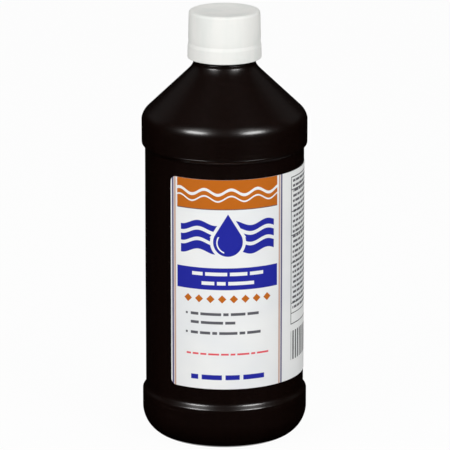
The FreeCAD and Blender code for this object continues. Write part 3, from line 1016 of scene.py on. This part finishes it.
class BottleShell(bpy.types.Operator):
    """Blows the bottle: one closed wall, outside and inside, with its thread, groove, seams and weld.

    A profile turned about the axis. The radius is drawn in by a slow wander and one groove, and
    raised by the helix of the thread and by bells at the two seams. The base carries a pinched weld.
    """

    bl_idname = "bottle.blow_shell"
    bl_label = "Bottle Shell"
    seam_columns = (0.5, 1.0, 1.6, 2.6)

    def choose_shell_rows(self, look, shell, thread):
        """Rows of the closed wall, closer along the thread, the groove and the weld."""
        inside = shell.body(look.wall, look.base_wall)[::-1]
        profile = soften(outline(shell.body(0.0, 0.0), shell.neck_outline(), inside), look.softness)
        outer = np.arange(len(profile) - 1) < np.argmax(profile[:, 1] > shell.land - look.land_round)
        radius, height = profile[:-1].T
        wound = outer & (radius < shell.neck) & thread.spans(height, thread.foot, thread.look.fade)
        grooved = outer & np.isclose(height, shell.upper_head, atol=3 * look.groove_width)
        welded = outer & (height < look.heel_height) & (radius < look.weld_reach + look.weld_width)
        finest = [thread.look.row_height, look.groove_width / 3, look.weld_width]
        spacing = np.select([wound, grooved, welded], finest, np.inf)
        return choose_rows(profile, np.where(outer, 1.0, INNER_CARE), spacing)

    def execute(self, context):
        look = context.scene.bottle_shell
        shell = Shell(look)
        thread = Thread(context.scene.bottle_thread, shell)
        if abs(shell.land - SHELL_BOX[1].z) > FIT:
            raise RuntimeError("the shell's sizes don't reach the packed bottle's sealing land")
        rows = self.choose_shell_rows(look, shell, thread)
        radius, height = rows[:, :1], rows[:, 1:]
        outside = np.arange(len(rows))[:, None] <= np.argmax(rows[:, 1] > shell.land - look.land_round)
        seams = (0.0, math.pi)
        turn = columns_round(seams, np.array(self.seam_columns) * look.seam_width / shell.bumper)
        body = outside & (height > look.heel_height / 2) & (height < shell.neck_base)
        waves = [np.sin(lobes * turn + start + twist * height) for lobes, start, twist in WANDER_WAVES]
        swing = np.mean(waves, axis=0)
        drawn_in = look.wander * (1 - swing) / 2 * smooth_step((shell.bumper - radius) / look.panel_recess)
        sunk = body * (drawn_in + look.groove_depth * gauss(height - shell.upper_head, look.groove_width))
        apart = np.abs(np.angle(np.exp(1j * turn)[..., None] / np.exp(1j * np.array(seams)))).min(-1)
        seam = body * look.seam_height * gauss(apart * shell.bumper, look.seam_width)
        seam = seam * smooth_step((shell.bumper - radius) / look.seam_height)
        finish = outside & (height > shell.collar_top) & (radius > shell.mouth)
        rings = revolve(radius - sunk + seam + finish * thread.on_finish(turn, height), height, turn)
        under = outside & (height < look.heel_height) & (radius < shell.ring_inner)
        along = smooth_step((look.weld_reach - np.abs(rings[..., 0])) / look.weld_width)
        rings[..., 2] -= under * along * look.weld_height * gauss(rings[..., 1], look.weld_width)
        piece = new_piece("bottle_shell", *rings_to_faces(rings), brown_plastic(look))
        seat(piece, "vessel", "bottle")
        return {"FINISHED"}


class PrintedLabel(bpy.types.Operator):
    """Wraps the label: a sheet of even thickness round part of the panel, with rounded corners.

    Columns run round the panel and rows up it; near an end the rows close in along the corner's
    circle. The ends stand off a little, and one faint slanting crease is a bell across its line.
    """

    bl_idname = "bottle.wrap_label"
    bl_label = "Printed Label"
    rows = 56
    corner_columns = 12
    long_columns = 230

    def execute(self, context):
        look = context.scene.bottle_label
        radius, foot, top = LABEL_BOX[1].x, LABEL_BOX[0].z, LABEL_BOX[1].z
        width, height, left = radius * look.wrap, top - foot, radius * look.left
        eased = look.corner * (1 - np.cos(np.linspace(0, QUARTER, self.corner_columns, endpoint=False)))
        middle = np.linspace(look.corner, width - look.corner, self.long_columns)
        along = np.concatenate([eased, middle, width - eased[::-1]])
        to_end = np.minimum(along, width - along)
        closing = np.maximum(look.corner - to_end, 0)
        inset = look.corner - np.sqrt(look.corner ** 2 - closing ** 2)
        share = np.linspace(0, 1, self.rows)
        up = foot + inset[:, None] + share * (height - 2 * inset[:, None])
        lifted = look.lift * np.exp(-to_end / look.corner)[:, None]
        rise = up - foot - look.crease_up
        aside = along[:, None] - left - look.crease_across - look.crease_lean * rise
        crease = look.crease * gauss(aside, look.crease_width) * gauss(rise, look.crease_reach)
        turn = (along - left)[:, None] / radius - QUARTER
        outer = revolve(radius + lifted + crease, up, turn)
        inner = revolve(radius - look.thickness + lifted + crease, up, turn)
        loops = np.concatenate([outer, inner[:, ::-1]], 1)
        finish = printed_paper(look, width / MM, left / MM, height / MM)
        piece = new_piece("printed_label", loops.reshape(-1, 3), self.sheet_faces(len(along)), finish)
        self.map_face(piece.data, along / width, (up - foot) / height)
        seat(piece, "vessel", "wrap_label")
        return {"FINISHED"}

    def sheet_faces(self, columns):
        """Faces between the loops round the sheet, then those that close its first and last loop."""
        around = 2 * self.rows
        here = np.arange(columns * around).reshape(columns, around)
        beside = np.roll(here, -1, axis=1)
        sides = np.stack([here[:-1], here[1:], beside[1:], beside[:-1]], -1).reshape(-1, 4)
        face, back = here[:, :self.rows], here[:, :self.rows - 1:-1]
        start = np.stack([face[0, :-1], face[0, 1:], back[0, 1:], back[0, :-1]], -1)
        end = np.stack([face[-1, :-1], back[-1, :-1], back[-1, 1:], face[-1, 1:]], -1)
        return np.concatenate([sides, start, end]).tolist()

    def map_face(self, mesh, across, up):
        """Maps the printed face over nearly all the map, and the back, edges and ends along its foot."""
        printed = MAP_MARGIN + (1 - MAP_MARGIN) * up
        back = np.broadcast_to(np.linspace(0.6, 0.2, self.rows) * MAP_MARGIN, up.shape)
        edge_foot = np.zeros_like(up[:, :1])
        edge_top = edge_foot + 0.1 * MAP_MARGIN
        low = np.concatenate([printed[:, :-1], edge_foot, back[:, :-1], edge_foot], 1)
        high = np.concatenate([printed[:, 1:], edge_top, back[:, 1:], edge_top], 1)
        across = np.broadcast_to(across[:, None], low.shape)
        here, beside = slice(None, -1), slice(1, None)
        corners = [(across[at], level[at]) for at, level in (
            (here, low), (beside, low), (beside, high), (here, high),
        )]
        sides = np.stack([np.stack(corner, -1) for corner in corners], -2).reshape(-1, 2)
        step = np.linspace(0, 1, self.rows)
        strip = np.stack([step[:-1], step[1:], step[1:], step[:-1]], -1)
        shelves = [np.full_like(strip, share * MAP_MARGIN) for share in (0.75, 0.85)]
        ends = [np.stack([strip, shelf], -1).reshape(-1, 2) for shelf in shelves]
        layer = mesh.uv_layers.new(name=PRINT_MAP)
        layer.uv.foreach_set("vector", np.concatenate([sides, *ends]).astype(np.float32).ravel())


class ScrewCap(bpy.types.Operator):
    """Moulds the cap: a drafted side with a foot band, a dished top, a liner bead and an inner thread.

    A profile turned about the axis, from the middle of the underside down the bore, round the foot,
    up the side and over the top. The side draws in above the band and comes back as a parabola, and
    the bore is drawn in by the helix of the thread.
    """

    bl_idname = "bottle.mould_cap"
    bl_label = "Screw Cap"
    dish_points = 300
    waist_points = 100

    def choose_cap_rows(self, look, thread, bead_foot):
        """Rows of the closed wall, closer along the thread, the foot band and the waist."""
        foot, top, bore = CAP_BOX[0].z, CAP_BOX[1].z, thread.bore
        seat_height, bead_top = LINER_BOX[1].z, bead_foot + look.bead_height
        lean = math.tan(look.draft)
        foot_radius = bore + look.foot_wall
        band_top = foot + look.band_height - look.band_slope / 2
        side_foot = band_top + look.band_slope
        band_radius = foot_radius - (band_top - foot) * lean
        side_radius = foot_radius - (side_foot - foot) * lean - look.band_step
        top_radius = side_radius - (top - side_foot) * lean
        dish_radius = top_radius - look.rim_width
        dished = np.linspace(dish_radius, 0, self.dish_points)
        rise = np.linspace(0, look.waist_run, self.waist_points)
        drawn_in = look.waist * (1 - rise / look.waist_run) ** 2
        foot_edge, top_edge = look.foot_round, look.top_round
        profile = soften(outline(
            (0.0, seat_height),
            (bore, seat_height),
            (bore, bead_top),
            (bore - look.bead, bead_top),
            (bore - look.bead, bead_foot + look.bead_height / 2),
            (bore, bead_foot),
            (bore, foot + 2 * look.lead_in),
            (bore + look.lead_in, foot),
            arc((foot_radius - foot_edge, foot + foot_edge), foot_edge, -QUARTER, -look.draft),
            (foot_radius - foot_edge * lean, foot + foot_edge),
            (band_radius, band_top),
            np.stack([side_radius - rise * lean - drawn_in, side_foot + rise], 1),
            arc((top_radius - top_edge, top - top_edge), top_edge, look.draft, QUARTER),
            np.stack([dished, top - look.dish * smooth_step((dish_radius - dished) / look.dish_run)], 1),
        ), look.softness)
        steps = np.arange(len(profile) - 1)
        height = profile[:-1, 1]
        inner_end = np.argmin(profile[:, 1])
        wound = (steps < inner_end) & thread.spans(height, thread.cap_foot, 0.0)
        banded = (steps > inner_end) & (np.abs(height - side_foot) < look.waist_run)
        spacing = np.select([wound, banded], [thread.look.row_height, look.band_slope / 4], np.inf)
        return choose_rows(profile, 1.0, spacing)

    def execute(self, context):
        look = context.scene.bottle_cap
        thread = Thread(context.scene.bottle_thread, Shell(context.scene.bottle_shell))
        bead_foot = LINER_BOX[0].z - look.bead_gap - look.bead_height
        rows = self.choose_cap_rows(look, thread, bead_foot)
        radius, height = rows[:, :1], rows[:, 1:]
        turn = columns_round()
        number = np.arange(len(rows))[:, None]
        in_bore = (number < np.argmin(height)) & (height < bead_foot)
        in_bore = in_bore & (height > CAP_BOX[0].z + 2 * look.lead_in)
        rings = revolve(radius - in_bore * thread.in_cap(turn, height), height, turn)
        on_top = (number > np.argmax(height)) & (radius < 2 * look.gate_radius)
        rings[..., 2] -= on_top * look.gate_depth * gauss(radius, look.gate_radius) ** 2
        piece = new_piece("screw_cap_shell", *rings_to_faces(rings), white_plastic(look))
        seat(piece, "cap", "screw_cap")
        return {"FINISHED"}


class FoilSeal(bpy.types.Operator):
    """Welds the foil across the mouth: a thin disc that dips over the mouth, with fine radial wrinkles.

    The dip is a shallow bowl inside the land, and the free edge bends down past it. The wrinkles are
    a sine round the axis that grows towards the land, bunched three times and swelling seven times.
    """

    bl_idname = "bottle.weld_seal"
    bl_label = "Foil Seal"
    rings = 60

    def execute(self, context):
        look = context.scene.bottle_seal
        shell = Shell(context.scene.bottle_shell)
        edge, land, top = FOIL_BOX[1].x, FOIL_BOX[0].z, FOIL_BOX[1].z
        mouth, finish = shell.mouth - shell.look.land_round, shell.look.finish_radius
        out = np.linspace(0, edge, self.rings)[:, None]
        turn = columns_round()
        bowl = smooth_step(out / mouth)
        dip = -look.sag * (1 - bowl) - look.edge_droop * smooth_step((out - finish) / (edge - finish))
        grow = bowl * (1 - smooth_step((out - mouth) / (finish - mouth)))
        uneven = 0.6 + 0.4 * np.sin(7 * turn + 1.0)
        wave = uneven * np.sin(look.wrinkle_count * turn + 2.2 * np.sin(3 * turn))
        upper = revolve(out, top + dip - look.wrinkle * grow * (1 - wave) / 2, turn)
        lower = upper - np.array([0, 0, look.foil_thickness])
        lower[..., 2] = np.maximum(lower[..., 2], np.where((out > mouth) & (out < finish), land, -np.inf))
        rings = np.concatenate([lower, upper[::-1]])
        piece = new_piece("foil_disc", *rings_to_faces(rings), bare_foil(look))
        seat(piece, "vessel", "foil_seal")
        return {"FINISHED"}


class CapLiner(bpy.types.Operator):
    """Cuts the liner: a pulp disc with rounded cut edges and the ring that the land has pressed into it.

    A profile turned about the axis, with a bell-shaped dent on its underside.
    """

    bl_idname = "bottle.cut_liner"
    bl_label = "Cap Liner"
    row_spacing = 0.6 * MM

    def execute(self, context):
        look = context.scene.bottle_seal
        shell = Shell(context.scene.bottle_shell)
        edge, foot, top = LINER_BOX[1].x, LINER_BOX[0].z, LINER_BOX[1].z
        profile = soften(outline((0.0, foot), (edge, foot), (edge, top), (0.0, top)), look.edge_round)
        rows = choose_rows(profile, 1.0, self.row_spacing)
        radius, height = rows[:, :1], rows[:, 1:]
        turn = columns_round()
        middle = (shell.mouth + shell.look.finish_radius) / 2
        below = height < (foot + top) / 2
        dent = below * look.imprint * gauss(radius - middle, look.imprint_width)
        rings = revolve(radius, height + dent, turn)
        piece = new_piece("liner_disc", *rings_to_faces(rings), pulp_board(look))
        seat(piece, "liner", "cap_liner")
        return {"FINISHED"}


class Contents(bpy.types.Operator):
    """Pours the solution: the bottle's inside, a hair smaller, up to a surface that climbs at the wall.

    A profile turned about the axis. The surface rises towards the wall as an exponential.
    """

    bl_idname = "bottle.pour_contents"
    bl_label = "Contents"
    surface_points = 400

    def execute(self, context):
        look = context.scene.bottle_fill
        shell = Shell(context.scene.bottle_shell)
        wall, base = shell.look.wall + look.wet_gap, shell.look.base_wall + look.wet_gap
        foot_radius, foot_height = shell.cone_foot(wall)
        level = FILL_BOX[1].z
        wet_radius = foot_radius - (level - foot_height) / math.tan(shell.look.shoulder_slope)
        across = np.linspace(wet_radius, 0, self.surface_points)
        climb = look.meniscus * (np.exp((across - wet_radius) / look.meniscus_reach) - 1)
        surface = np.stack([across, level + np.maximum(climb, -look.meniscus)], 1)
        rows = choose_rows(soften(outline(shell.body(wall, base), surface), shell.look.softness))
        rings = revolve(rows[:, :1], rows[:, 1:], columns_round())
        piece = new_piece("solution_fill", *rings_to_faces(rings), clear_water(look))
        seat(piece, "vessel", "solution")
        return {"FINISHED"}


class Studio(bpy.types.Operator):
    """Sets the pale floor, the dark cards, the even fill, two softboxes in front and the camera."""

    bl_idname = "bottle.set_studio"
    bl_label = "Studio"
    dome_rows = 24

    def execute(self, context):
        look = context.scene.bottle_stage
        scene = context.scene
        scene.view_settings.view_transform = "Standard"
        half = look.floor_size / 2
        corners = np.array([(-half, -half, 0), (half, -half, 0), (half, half, 0), (-half, half, 0)])
        new_piece("floor", corners, [(0, 1, 2, 3)], floor_finish(look))
        self.add_flags(look)
        self.light_world(scene, look)
        for name, side in (("left_softbox", -1), ("right_softbox", 1)):
            self.add_softbox(scene, look, name, side)
        self.add_camera(scene, look)
        return {"FINISHED"}

    def toward(self, turn, elevation):
        """Direction to a place round from the front and over the horizon."""
        flat = math.cos(elevation)
        return Vector((math.sin(turn) * flat, -math.cos(turn) * flat, math.sin(elevation)))

    def look_back(self, thing, aim, away, distance):
        """Puts a lamp or the camera at a distance from its aim, facing it."""
        thing.location = aim + away * distance
        thing.rotation_euler = (-away).to_track_quat("-Z", "Y").to_euler()

    def add_flags(self, look):
        """Dark cards all round that show only as what the glossy pieces mirror.

        They are half a ball and its flat floor, a millimetre above the pale one.
        """
        rise = np.linspace(0, QUARTER, self.dome_rows)[:, None]
        dome = revolve(look.flag_radius * np.cos(rise), look.flag_radius * np.sin(rise), columns_round())
        rings = np.concatenate([dome[:1] * 0, dome])
        rings[..., 2] += MM
        flags = new_piece("dark_flags", *rings_to_faces(rings), flag_finish(look))
        for ray in ("camera", "diffuse", "shadow", "transmission"):
            setattr(flags, f"visible_{ray}", False)

    def light_world(self, scene, look):
        """Even grey light that is seen as white where the floor ends."""
        scene.world = bpy.data.worlds.new("even_fill")
        scene.world.use_nodes = True
        shade = Shade(scene.world.node_tree)
        _, _, up = shade.parts(shade.node("TexCoord", output="Generated"))
        level = shade.ramp(up, 0.0, 1.0, look.fill_low, look.fill_high) & shade.seen()
        even = shade.node("Background", inputs={"Color": (1, 1, 1, 1), "Strength": level})
        shade.node("OutputWorld", inputs={"Surface": even})

    def add_softbox(self, scene, look, name, side):
        """One softbox to the left or right of the camera."""
        data = bpy.data.lights.new(name, "AREA")
        data.shape = "RECTANGLE"
        data.size, data.size_y, data.energy = look.lamp_width, look.lamp_height, look.lamp_power
        lamp = bpy.data.objects.new(name, data)
        scene.collection.objects.link(lamp)
        aim = Vector((0, 0, look.aim_height))
        away = self.toward(side * look.lamp_round, look.lamp_elevation)
        self.look_back(lamp, aim, away, look.lamp_distance)

    def add_camera(self, scene, look):
        """A long lens from the photograph's side."""
        data = bpy.data.cameras.new("camera")
        data.lens = look.lens
        camera = bpy.data.objects.new("camera", data)
        scene.collection.objects.link(camera)
        aim = Vector((look.aim_across, 0, look.aim_height))
        self.look_back(camera, aim, self.toward(0.0, look.elevation), look.distance)
        scene.camera = camera


LOOKS = {
    "bottle_shell": ShellLook,
    "bottle_thread": ThreadLook,
    "bottle_label": LabelLook,
    "bottle_cap": CapLook,
    "bottle_seal": SealLook,
    "bottle_fill": FillLook,
    "bottle_stage": StageLook,
}
MAKERS = (BottleShell, PrintedLabel, ScrewCap, FoilSeal, CapLiner, Contents, Studio)


class BottlePanel(bpy.types.Panel):
    """Lists the steps that build the bottle."""

    bl_idname = "VIEW3D_PT_solution_bottle"
    bl_label = "Solution Bottle"
    bl_space_type = "VIEW_3D"
    bl_region_type = "UI"
    bl_category = "Bottle"

    def draw(self, context):
        for maker in MAKERS:
            self.layout.operator(maker.bl_idname)


def register():
    for name, group in LOOKS.items():
        bpy.utils.register_class(group)
        setattr(bpy.types.Scene, name, bpy.props.PointerProperty(type=group))
    for part in (*MAKERS, BottlePanel):
        bpy.utils.register_class(part)


def unregister():
    for part in reversed((*MAKERS, BottlePanel)):
        bpy.utils.unregister_class(part)
    for name, group in reversed(LOOKS.items()):
        delattr(bpy.types.Scene, name)
        bpy.utils.unregister_class(group)


def main():
    """Builds every piece and the studio."""
    register()
    for maker in MAKERS:
        group, step = maker.bl_idname.split(".")
        getattr(getattr(bpy.ops, group), step)()


if __name__ == "__main__":
    main()
